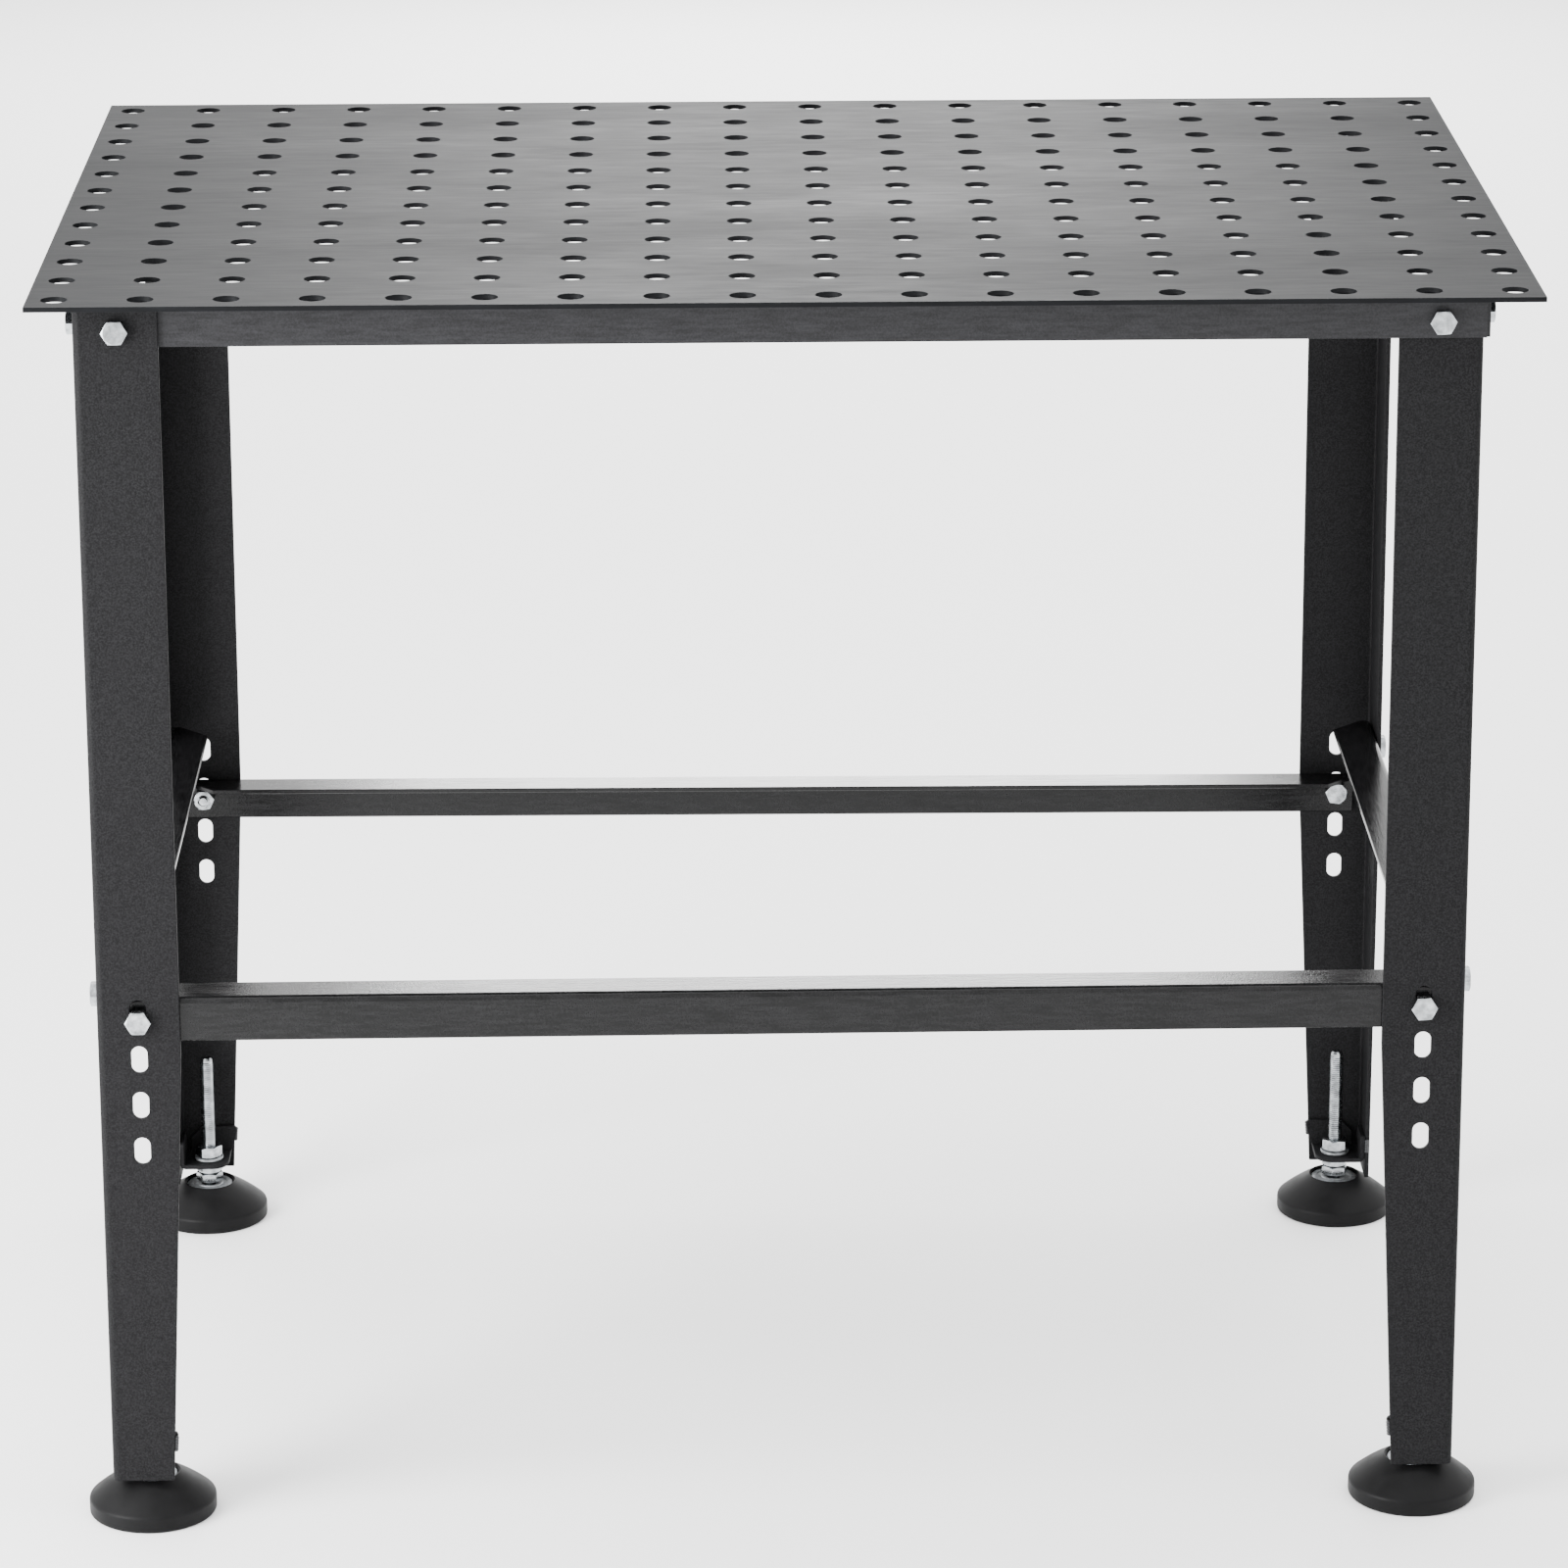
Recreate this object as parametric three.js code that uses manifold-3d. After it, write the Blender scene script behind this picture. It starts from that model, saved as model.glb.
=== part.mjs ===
// Welding table: a perforated fixture plate on a ring of angle rails, four bent
// L-section legs braced by four angle stretchers, and four swivel levelling feet.
//
// Millimetres. +X is the length to the right, +Y is the depth to the back, +Z is up.
// The origin is on the floor, under the centre of the top plate.

import * as THREE from 'three';
import { mergeVertices } from 'three/addons/utils/BufferGeometryUtils.js';
import Module from 'manifold-3d';

const wasm = await Module();
wasm.setup();

// ---------------------------------------------------------------- driving dimensions

const HEIGHT = 790;                     // floor to work surface
const GAP = 0.3;                        // clearance between pieces that touch
const SHEET = 3;                        // thickness of plate, rails, legs and brackets

const PLATE_LENGTH = 900;
const PLATE_DEPTH = 600;
const HOLE_PITCH = 51;
const HOLE_COLUMNS = 18;
const HOLE_ROWS = 12;
const HOLE_RADIUS = 8;

const RING_LENGTH = 842;                // outside of the rail ring
const RING_DEPTH = 542;
const ANGLE = 28;                       // flange width of rails and stretchers
const ANGLE_BEND = 4;                   // outer bend radius of the angle section
const RAIL_HOLE_DROP = 17.7;            // rail top to bolt centre

const LEG_FLANGE = 51;
const LEG_FOOT_FLANGE = 38.5;           // flange width at the very bottom
const LEG_BEND = 4.5;
const LEG_BOTTOM = 28.5;
const LEG_TAPER_TOP = 310;              // the free edges taper below this height
const BOLT_LINE = 25.5;                 // leg's outer face to the line of its holes

const SLOT_COUNT = 4;
const SLOT_PITCH = 29.9;
const SLOT_TOP = 339;                   // centre height of the highest slot
const SLOT_WIDTH = 10.2;
const SLOT_LENGTH = 17.6;

const STRETCHER_HOLE_DROP = 13.6;       // stretcher top to bolt centre
const SIDE_HOLE_DROP = 15.2;
const STRETCHER_OVERRUN = 11.5;         // stretcher end past its bolt
const STRETCHER_SNIPE = 20;             // size of the corner cut off its level flange
const BOLT_HOLE_RADIUS = 4.7;

const BOLT_RADIUS = 3.95;               // M8
const BOLT_HEAD_FLATS = 14;
const BOLT_HEAD_HEIGHT = 5.3;
const BOLT_LENGTH = 16;
const NUT_FLATS = 13;
const NUT_HEIGHT = 6.5;

const FOOT_INSET = 22.7;                // leg's outer faces to the stud's axis
const STUD_RADIUS = 4.9;                // M10
const STUD_TOP = 118;
const STUD_HEX_FLATS = 16;
const STUD_HEX_BOTTOM = 26.3;
const STUD_HEX_TOP = 33;
const NECK_RADIUS = 4;
const BALL_RADIUS = 7;
const BALL_HEIGHT = 15;                 // ball centre above the floor
const FOOT_NUT_FLATS = 16;
const FOOT_NUT_HOLE = 5.6;
const ADJUSTING_NUT_HEIGHT = 5.7;
const LOCK_NUT_HEIGHT = 8;
const WASHER_RADIUS = 10;
const WASHER_THICKNESS = 1.8;
const PAD_RADIUS = 40;

const BRACKET_BOTTOM = STUD_HEX_TOP + GAP + ADJUSTING_NUT_HEIGHT + GAP;
const BRACKET_TOP = BRACKET_BOTTOM + SHEET;
const BRACKET_REACH = 37;               // leg's outer face to the bracket's free edges
const BRACKET_ROUND = 12;
const EAR_TOP = 60;
const EAR_START = 9;                    // the ears stop short of the leg's bend
const EAR_FLARE = 5.4;                  // how far an ear leans out towards its top

const PLATE_BOTTOM = HEIGHT - SHEET;
const RAIL_TOP = PLATE_BOTTOM - GAP;
const LEG_TOP = RAIL_TOP - SHEET - GAP;

// ---------------------------------------------------------------- materials

const blackPaint = { color: 0x4a4b4e, roughness: 0.42, metalness: 0.3 };
const blackPowder = { color: 0x2a2a2b, roughness: 0.62, metalness: 0.1 };
const zinc = { color: 0xc9ccce, roughness: 0.3, metalness: 0.9 };
const rubber = { color: 0x232324, roughness: 0.75, metalness: 0 };
const weldMetal = { color: 0x3a3a3a, roughness: 0.55, metalness: 0.4 };

const table = new THREE.Group();

// ---------------------------------------------------------------- solids

function solidOf(geometry) {
  const bare = geometry.clone();
  bare.deleteAttribute('normal');
  bare.deleteAttribute('uv');
  const merged = mergeVertices(bare, 1e-4);
  return new wasm.Manifold(new wasm.Mesh({
    numProp: 3,
    vertProperties: new Float32Array(merged.attributes.position.array),
    triVerts: new Uint32Array(merged.index.array),
  }));
}

function geometryOf(solid) {
  const mesh = solid.getMesh();
  const geometry = new THREE.BufferGeometry();
  geometry.setAttribute('position', new THREE.BufferAttribute(mesh.vertProperties, 3));
  geometry.setIndex(new THREE.BufferAttribute(mesh.triVerts, 1));
  return geometry;
}

function cut(geometry, cutters) {
  let solid = solidOf(geometry);
  for (const cutter of cutters) solid = solid.subtract(solidOf(cutter));
  return geometryOf(solid);
}

function join(geometries) {
  let solid = solidOf(geometries[0]);
  for (const geometry of geometries.slice(1)) solid = solid.add(solidOf(geometry));
  return geometryOf(solid);
}

function polygon(radius, sides, x = 0, y = 0) {
  const points = [];
  for (let i = 0; i < sides; i += 1) {
    const angle = ((i + 0.5) * 2 * Math.PI) / sides;
    points.push(new THREE.Vector2(x + radius * Math.cos(angle), y + radius * Math.sin(angle)));
  }
  return points;
}

function rectangle(halfX, halfY) {
  return [[-1, -1], [1, -1], [1, 1], [-1, 1]]
    .map(([x, y]) => new THREE.Vector2(x * halfX, y * halfY));
}

// A straight prism along +Z.
function prism(points, bottom, top, holes = []) {
  const shape = new THREE.Shape(points);
  for (const hole of holes) shape.holes.push(new THREE.Path(hole));
  const geometry = new THREE.ExtrudeGeometry(shape, { depth: top - bottom, bevelEnabled: false });
  return geometry.translate(0, 0, bottom);
}

// A prism along +Y: the outline's first axis lies along +X and its second points up.
function uprightPrism(points, near, far) {
  return prism(points, -far, -near).rotateX(Math.PI / 2);
}

// The mirror image across the plane x = y, with its triangles turned to face out again.
function acrossDiagonal(geometry) {
  const copy = geometry.index ? geometry.toNonIndexed() : geometry.clone();
  const old = copy.attributes.position.clone();
  for (let corner = 0; corner < old.count; corner += 1) {
    const source = corner % 3 === 0 ? corner : corner - (corner % 3) + 3 - (corner % 3);
    copy.attributes.position.setXYZ(corner, old.getY(source), old.getX(source), old.getZ(source));
  }
  return copy;
}

function hexagon(flats) {
  return polygon(flats / Math.sqrt(3), 6);
}

function arc(cx, cy, radius, from, to, steps) {
  const points = [];
  for (let i = 0; i <= steps; i += 1) {
    const angle = ((from + ((to - from) * i) / steps) * Math.PI) / 180;
    points.push(new THREE.Vector2(cx + radius * Math.cos(angle), cy + radius * Math.sin(angle)));
  }
  return points;
}

// Outline of a bent angle: outer corner at the origin, flanges along +x and +y.
function angleOutline(flange, bend) {
  return [
    ...arc(bend, bend, bend, 180, 270, 3),
    new THREE.Vector2(flange, 0),
    new THREE.Vector2(flange, SHEET),
    ...arc(bend, bend, bend - SHEET, 270, 180, 2),
    new THREE.Vector2(SHEET, flange),
    new THREE.Vector2(0, flange),
  ];
}

// A cutter for a round hole through a flange that faces +Y.
function holeCutter(x, z, radius) {
  const depth = 20;
  return new THREE.CylinderGeometry(radius, radius, depth, 8).translate(x, 0, z);
}

function addPiece(name, geometry, finish, parent = table) {
  const mesh = new THREE.Mesh(geometry, new THREE.MeshStandardMaterial(finish));
  mesh.name = name;
  parent.add(mesh);
  return mesh;
}

// ---------------------------------------------------------------- corners

// Left legs stand outside the rail ring, right legs inside it. Each leg is the same
// piece, turned by quarter turns, with its outer corner at x, y.
const LEFT_X = -(RING_LENGTH / 2 + GAP + SHEET);
const LEFT_Y = RING_DEPTH / 2 + GAP + SHEET;
const RIGHT_X = RING_LENGTH / 2 - SHEET - GAP;
const RIGHT_Y = RING_DEPTH / 2 - SHEET - GAP;

const corners = [
  { name: 'front_left', x: LEFT_X, y: -LEFT_Y, quarterTurns: 0, outside: true },
  { name: 'front_right', x: RIGHT_X, y: -RIGHT_Y, quarterTurns: 1, outside: false },
  { name: 'rear_right', x: RIGHT_X, y: RIGHT_Y, quarterTurns: 2, outside: false },
  { name: 'rear_left', x: LEFT_X, y: LEFT_Y, quarterTurns: 3, outside: true },
];

for (const corner of corners) {
  corner.group = new THREE.Group();
  corner.group.position.set(corner.x, corner.y, 0);
  corner.group.rotation.z = (corner.quarterTurns * Math.PI) / 2;
  corner.group.updateMatrix();
  table.add(corner.group);
}

// ---------------------------------------------------------------- top plate

function topPlate() {
  const holes = [];
  for (let column = 0; column < HOLE_COLUMNS; column += 1) {
    for (let row = 0; row < HOLE_ROWS; row += 1) {
      const x = (column - (HOLE_COLUMNS - 1) / 2) * HOLE_PITCH;
      const y = (row - (HOLE_ROWS - 1) / 2) * HOLE_PITCH;
      holes.push(polygon(HOLE_RADIUS / Math.cos(Math.PI / 8), 8, x, y));
    }
  }
  return prism(rectangle(PLATE_LENGTH / 2, PLATE_DEPTH / 2), PLATE_BOTTOM, HEIGHT, holes);
}

addPiece('top_plate', topPlate(), blackPaint);

// The weld bead that runs round the inner edges of the rails, between two lines of
// fixture holes.
function plateWeld() {
  const bead = 2;
  const outerX = RING_LENGTH / 2 - ANGLE - GAP;
  const outerY = RING_DEPTH / 2 - ANGLE - GAP;
  const bottom = PLATE_BOTTOM - GAP - bead;
  return prism(rectangle(outerX, outerY), bottom, bottom + bead,
    [rectangle(outerX - bead, outerY - bead)]);
}

addPiece('plate_weld', plateWeld(), weldMetal);

// ---------------------------------------------------------------- rails

// An angle bar along X: its upright flange has its outer face on y = 0 and hangs
// below z = 0, and its level flange points to +Y.
function angleBar(length) {
  const bar = prism(angleOutline(ANGLE, ANGLE_BEND), -length / 2, length / 2);
  return bar.rotateY(Math.PI / 2);
}

// Mitres one end of a rail, and trims its sharp corner, which would foul the bend of
// a leg that stands outside the ring.
function mitreCutter(length, side) {
  const reach = ANGLE * 2;
  const trim = 2;
  const end = length / 2 - GAP * Math.SQRT1_2;
  const points = [
    [end - trim, -1],
    [end + reach, -1],
    [end + reach, reach],
    [end - reach, reach],
    [end - trim, trim],
  ].map(([x, y]) => new THREE.Vector2(side * x, y));
  return prism(points, -2 * ANGLE, ANGLE);
}

function frameRail(length, holes) {
  const cutters = holes.map((x) => holeCutter(x, -RAIL_HOLE_DROP, BOLT_HOLE_RADIUS));
  return cut(angleBar(length), [mitreCutter(length, -1), mitreCutter(length, 1), ...cutters]);
}

const BOLT_LEFT_X = LEFT_X + BOLT_LINE;
const BOLT_RIGHT_X = RIGHT_X - BOLT_LINE;
const BOLT_LEFT_Y = LEFT_Y - BOLT_LINE;
const BOLT_RIGHT_Y = RIGHT_Y - BOLT_LINE;

function placeBar(bar, x, y, top, angle) {
  bar.position.set(x, y, top);
  bar.rotation.z = angle;
}

const frontRail = frameRail(RING_LENGTH, [BOLT_LEFT_X, BOLT_RIGHT_X]);
const rearRail = frameRail(RING_LENGTH, [-BOLT_LEFT_X, -BOLT_RIGHT_X]);
const leftRail = frameRail(RING_DEPTH, [-BOLT_LEFT_Y, BOLT_LEFT_Y]);
const rightRail = frameRail(RING_DEPTH, [-BOLT_RIGHT_Y, BOLT_RIGHT_Y]);
placeBar(addPiece('front_rail', frontRail, blackPaint), 0, -RING_DEPTH / 2, RAIL_TOP, 0);
placeBar(addPiece('rear_rail', rearRail, blackPaint), 0, RING_DEPTH / 2, RAIL_TOP, Math.PI);
placeBar(addPiece('left_rail', leftRail, blackPaint), -RING_LENGTH / 2, 0, RAIL_TOP, -Math.PI / 2);
placeBar(addPiece('right_rail', rightRail, blackPaint), RING_LENGTH / 2, 0, RAIL_TOP, Math.PI / 2);

// ---------------------------------------------------------------- legs

function slotCutter(z) {
  const straight = (SLOT_LENGTH - SLOT_WIDTH) / 2;
  const radius = SLOT_WIDTH / 2;
  const outline = [
    ...arc(BOLT_LINE, z + straight, radius, 0, 180, 4),
    ...arc(BOLT_LINE, z - straight, radius, 180, 360, 4),
  ];
  return uprightPrism(outline, -10, 10);
}

// Removes the wedge outside the free edge of the flange along +x, below the taper.
function taperCutter() {
  const slope = (LEG_FLANGE - LEG_FOOT_FLANGE) / (LEG_TAPER_TOP - LEG_BOTTOM);
  const below = 10;
  const outline = [
    new THREE.Vector2(LEG_FOOT_FLANGE - slope * below, LEG_BOTTOM - below),
    new THREE.Vector2(LEG_FLANGE + 10, LEG_BOTTOM - below),
    new THREE.Vector2(LEG_FLANGE + 10, LEG_TAPER_TOP),
    new THREE.Vector2(LEG_FLANGE, LEG_TAPER_TOP),
  ];
  return uprightPrism(outline, -10, 10);
}

function leg() {
  const cutters = [taperCutter(), holeCutter(BOLT_LINE, RAIL_TOP - RAIL_HOLE_DROP, BOLT_HOLE_RADIUS)];
  for (let i = 0; i < SLOT_COUNT; i += 1) cutters.push(slotCutter(SLOT_TOP - i * SLOT_PITCH));
  const both = cutters.flatMap((cutter) => [cutter, acrossDiagonal(cutter)]);
  return cut(prism(angleOutline(LEG_FLANGE, LEG_BEND), LEG_BOTTOM, LEG_TOP), both);
}

for (const corner of corners) addPiece(`leg_${corner.name}`, leg(), blackPowder, corner.group);

// ---------------------------------------------------------------- stretchers

// The front and rear bolts sit at the lower end of their slots, the side bolts at
// the upper end of the highest slot.
const SLOT_SHIFT = SLOT_LENGTH / 2 - BOLT_RADIUS - GAP;
const FRONT_BOLT_Z = SLOT_TOP - SLOT_SHIFT;
const REAR_BOLT_Z = SLOT_TOP - SLOT_PITCH - SLOT_SHIFT;
const SIDE_BOLT_Z = SLOT_TOP + SLOT_SHIFT;

// Cuts the free corner off a stretcher's level flange at one end, which clears the
// nuts of the neighbouring stretcher.
function snipeCutter(length, side) {
  const end = length / 2;
  const spare = 2;
  const points = [
    [end + spare, ANGLE - STRETCHER_SNIPE - spare],
    [end + spare, ANGLE + spare],
    [end - STRETCHER_SNIPE - spare, ANGLE + spare],
  ].map(([x, y]) => new THREE.Vector2(side * x, y));
  return prism(points, -SHEET - 1, 1);
}

function stretcher(span, drop) {
  const length = span + 2 * STRETCHER_OVERRUN;
  const holes = [-span / 2, span / 2].map((x) => holeCutter(x, -drop, BOLT_HOLE_RADIUS));
  const snipes = [-1, 1].map((side) => snipeCutter(length, side));
  return cut(angleBar(length), [...holes, ...snipes]);
}

// Front and rear stretchers run slightly askew, from the left legs, which stand
// outside the ring, to the right legs, which stand inside it.
const LEFT_CONTACT = LEFT_Y - SHEET - 0.4;
const RIGHT_CONTACT = RIGHT_Y - SHEET - 0.55;
const LONG_SPAN = BOLT_RIGHT_X - BOLT_LEFT_X;
const LONG_MIDDLE = (BOLT_RIGHT_X + BOLT_LEFT_X) / 2;
const SKEW = Math.atan((LEFT_CONTACT - RIGHT_CONTACT) / LONG_SPAN);
const CONTACT_MIDDLE = (LEFT_CONTACT + RIGHT_CONTACT) / 2;

const longStretcher = stretcher(LONG_SPAN, STRETCHER_HOLE_DROP);
placeBar(addPiece('front_stretcher', longStretcher, blackPaint),
  LONG_MIDDLE, -CONTACT_MIDDLE, FRONT_BOLT_Z + STRETCHER_HOLE_DROP, SKEW);
placeBar(addPiece('rear_stretcher', longStretcher.clone(), blackPaint),
  LONG_MIDDLE, CONTACT_MIDDLE, REAR_BOLT_Z + STRETCHER_HOLE_DROP, Math.PI - SKEW);
placeBar(addPiece('left_stretcher', stretcher(2 * BOLT_LEFT_Y, SIDE_HOLE_DROP), blackPaint),
  LEFT_X + SHEET + GAP, 0, SIDE_BOLT_Z + SIDE_HOLE_DROP, -Math.PI / 2);
placeBar(addPiece('right_stretcher', stretcher(2 * BOLT_RIGHT_Y, SIDE_HOLE_DROP), blackPaint),
  RIGHT_X - SHEET - GAP, 0, SIDE_BOLT_Z + SIDE_HOLE_DROP, Math.PI / 2);

// ---------------------------------------------------------------- bolts with their nuts

// A bolt along +Y with its nut run up: the underside of the head is on y = 0, and the
// nut starts where the clamped flanges end.
function boltWithNut(clamped) {
  const head = prism(hexagon(BOLT_HEAD_FLATS), -BOLT_HEAD_HEIGHT, 0);
  const shank = prism(polygon(BOLT_RADIUS, 8), -1, BOLT_LENGTH);
  const nut = prism(hexagon(NUT_FLATS), clamped, clamped + NUT_HEIGHT);
  return join([head, shank, nut]).rotateX(-Math.PI / 2);
}

// Puts a bolt on the bolt line of one flange of a leg: flange 0 is the one along the
// leg's own +x, flange 1 the one along its +y. outward is where the bolt starts.
function addBolt(name, geometry, corner, flange, outward, z) {
  const holder = new THREE.Group();
  if (flange === 0) {
    holder.position.set(BOLT_LINE, 0, z);
  } else {
    holder.position.set(0, BOLT_LINE, z);
    holder.rotation.z = -Math.PI / 2;
  }
  corner.group.add(holder);
  addPiece(name, geometry.translate(0, outward, 0), zinc, holder);
}

// A corner's two rail bolts, and its two stretcher bolts, are named for the long
// rails and stretchers, front and rear, and the short ones, left and right.
function onLongSide(corner, flange) {
  return (corner.quarterTurns + flange) % 2 === 0;
}

const RAIL_CLAMPED = 2 * SHEET + 3 * GAP;
const STRETCHER_CLAMPED = 2 * SHEET + 4 * GAP;

for (const corner of corners) {
  for (const flange of [0, 1]) {
    const side = onLongSide(corner, flange) ? 'long' : 'short';
    const headFace = corner.outside ? -GAP : -(SHEET + 2 * GAP);
    addBolt(`rail_bolt_${corner.name}_${side}`, boltWithNut(RAIL_CLAMPED), corner, flange,
      headFace, RAIL_TOP - RAIL_HOLE_DROP);
  }
}

// One of the rear stretcher's bolts was put in from the inside.
for (const corner of corners) {
  for (const flange of [0, 1]) {
    const long = onLongSide(corner, flange);
    const endZ = corner.y < 0 ? FRONT_BOLT_Z : REAR_BOLT_Z;
    const reversed = long && corner.name === 'rear_right';
    const fastener = boltWithNut(STRETCHER_CLAMPED);
    if (reversed) fastener.rotateZ(Math.PI).translate(0, STRETCHER_CLAMPED - GAP, 0);
    addBolt(`stretcher_bolt_${corner.name}_${long ? 'long' : 'short'}`, fastener, corner, flange,
      reversed ? 0 : -GAP, long ? endZ : SIDE_BOLT_Z);
  }
}

// ---------------------------------------------------------------- foot brackets

function bracketBase() {
  const start = SHEET + GAP;
  const round = BRACKET_REACH - BRACKET_ROUND;
  const outline = [
    new THREE.Vector2(EAR_START, start),
    new THREE.Vector2(BRACKET_REACH, start),
    ...arc(round, round, BRACKET_ROUND, 0, 90, 5),
    new THREE.Vector2(start, BRACKET_REACH),
    new THREE.Vector2(start, EAR_START),
    new THREE.Vector2(EAR_START, EAR_START),
  ];
  const hole = polygon(FOOT_NUT_HOLE, 12, FOOT_INSET, FOOT_INSET);
  return prism(outline, BRACKET_BOTTOM, BRACKET_TOP, [hole]);
}

// The ear that lies against the leg's flange along +x.
function bracketEar() {
  const outline = [
    new THREE.Vector2(EAR_START, BRACKET_BOTTOM),
    new THREE.Vector2(BRACKET_REACH, BRACKET_BOTTOM),
    new THREE.Vector2(BRACKET_REACH, BRACKET_TOP),
    new THREE.Vector2(BRACKET_REACH + EAR_FLARE, EAR_TOP - 2),
    new THREE.Vector2(BRACKET_REACH + EAR_FLARE - 2, EAR_TOP),
    new THREE.Vector2(EAR_START + 7, EAR_TOP),
    new THREE.Vector2(EAR_START, EAR_TOP - 10),
  ];
  return uprightPrism(outline, SHEET + GAP, 2 * SHEET + GAP);
}

function footBracket() {
  const ear = bracketEar();
  return join([bracketBase(), ear, acrossDiagonal(ear)]);
}

for (const corner of corners) {
  addPiece(`foot_bracket_${corner.name}`, footBracket(), blackPowder, corner.group);
}

// ---------------------------------------------------------------- levelling feet

function lathe(profile, segments) {
  const points = profile.map(([radius, z]) => new THREE.Vector2(radius, z));
  return new THREE.LatheGeometry(points, segments).rotateX(Math.PI / 2);
}

// Stud, spanner hexagon, neck and ball, turned as one piece.
function footStud() {
  const neckJoin = Math.sqrt(BALL_RADIUS ** 2 - NECK_RADIUS ** 2);
  const topAngle = (Math.atan2(neckJoin, NECK_RADIUS) * 180) / Math.PI;
  const ball = arc(0, BALL_HEIGHT, BALL_RADIUS, -90, topAngle, 6).map((point) => [point.x, point.y]);
  ball[0][0] = 0;
  const turned = lathe([
    ...ball,
    [NECK_RADIUS, STUD_HEX_BOTTOM + 1],
    [STUD_RADIUS, STUD_HEX_BOTTOM + 1],
    [STUD_RADIUS, STUD_TOP - 1],
    [STUD_RADIUS - 0.8, STUD_TOP],
    [0, STUD_TOP],
  ], 12);
  return join([turned, prism(hexagon(STUD_HEX_FLATS), STUD_HEX_BOTTOM, STUD_HEX_TOP)]);
}

const RECESS_RADIUS = 16.2;
const RECESS_FLOOR = 20.2;
const PAD_TOP = 26;
const SOCKET_RADIUS = BALL_RADIUS + 0.5;

function footPad() {
  const socket = arc(0, BALL_HEIGHT, SOCKET_RADIUS, 0, -90, 4).map((point) => [point.x, point.y]);
  socket[4][0] = 0;
  return lathe([
    [0, 0],
    [PAD_RADIUS - 1.5, 0],
    [PAD_RADIUS, 1.5],
    [PAD_RADIUS, 9],
    [PAD_RADIUS - 1.6, 11.4],
    [28, 19],
    [17.4, PAD_TOP],
    [RECESS_RADIUS, PAD_TOP],
    [RECESS_RADIUS, RECESS_FLOOR],
    [SOCKET_RADIUS, RECESS_FLOOR],
    ...socket,
  ], 20);
}

function socketRing() {
  const bottom = RECESS_FLOOR + GAP;
  const top = 24.5;
  return lathe([
    [5.7, bottom],
    [RECESS_RADIUS - GAP, bottom],
    [RECESS_RADIUS - GAP, top],
    [6.2, top],
    [5.7, bottom],
  ], 16);
}

function footNut(bottom, height) {
  return prism(hexagon(FOOT_NUT_FLATS), bottom, bottom + height, [polygon(FOOT_NUT_HOLE, 12)]);
}

const WASHER_BOTTOM = BRACKET_TOP + GAP;
const LOCK_NUT_BOTTOM = WASHER_BOTTOM + WASHER_THICKNESS + GAP;

for (const corner of corners) {
  const foot = new THREE.Group();
  foot.position.set(FOOT_INSET, FOOT_INSET, 0);
  corner.group.add(foot);
  const washer = prism(polygon(WASHER_RADIUS, 12), WASHER_BOTTOM, WASHER_BOTTOM + WASHER_THICKNESS,
    [polygon(FOOT_NUT_HOLE, 12)]);
  addPiece(`foot_stud_${corner.name}`, footStud(), zinc, foot);
  addPiece(`foot_pad_${corner.name}`, footPad(), rubber, foot);
  addPiece(`foot_socket_ring_${corner.name}`, socketRing(), zinc, foot);
  addPiece(`foot_adjusting_nut_${corner.name}`,
    footNut(STUD_HEX_TOP + GAP, ADJUSTING_NUT_HEIGHT), zinc, foot);
  addPiece(`foot_washer_${corner.name}`, washer, zinc, foot);
  addPiece(`foot_lock_nut_${corner.name}`, footNut(LOCK_NUT_BOTTOM, LOCK_NUT_HEIGHT), zinc, foot);
}

export default table;
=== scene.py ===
import math
from contextlib import contextmanager

import bmesh
import bpy
from bpy.props import FloatProperty, FloatVectorProperty, IntProperty, PointerProperty
from bpy.types import Operator, Panel, PropertyGroup
from mathutils import Matrix, Vector


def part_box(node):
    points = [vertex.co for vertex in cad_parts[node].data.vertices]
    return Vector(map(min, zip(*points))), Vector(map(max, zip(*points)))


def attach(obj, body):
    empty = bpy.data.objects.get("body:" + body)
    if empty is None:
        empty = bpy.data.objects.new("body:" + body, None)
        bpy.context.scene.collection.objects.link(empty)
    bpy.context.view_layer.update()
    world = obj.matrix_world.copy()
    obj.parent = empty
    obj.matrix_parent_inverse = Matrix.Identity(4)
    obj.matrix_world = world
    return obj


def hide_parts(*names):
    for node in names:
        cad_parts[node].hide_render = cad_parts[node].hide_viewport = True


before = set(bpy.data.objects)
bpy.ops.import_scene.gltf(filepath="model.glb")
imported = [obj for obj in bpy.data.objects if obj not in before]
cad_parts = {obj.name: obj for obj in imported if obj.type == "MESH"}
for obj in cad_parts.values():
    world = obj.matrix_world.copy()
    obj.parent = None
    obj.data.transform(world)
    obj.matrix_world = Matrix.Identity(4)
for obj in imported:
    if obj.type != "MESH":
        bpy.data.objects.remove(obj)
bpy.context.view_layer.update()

bl_info = {
    "name": "Welding Table",
    "version": (1, 0, 0),
    "blender": (4, 5, 0),
    "location": "3D View > Sidebar > Welding Table",
    "description": "Models a steel welding table with a perforated top and levelling feet",
    "category": "Add Mesh",
}

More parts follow.
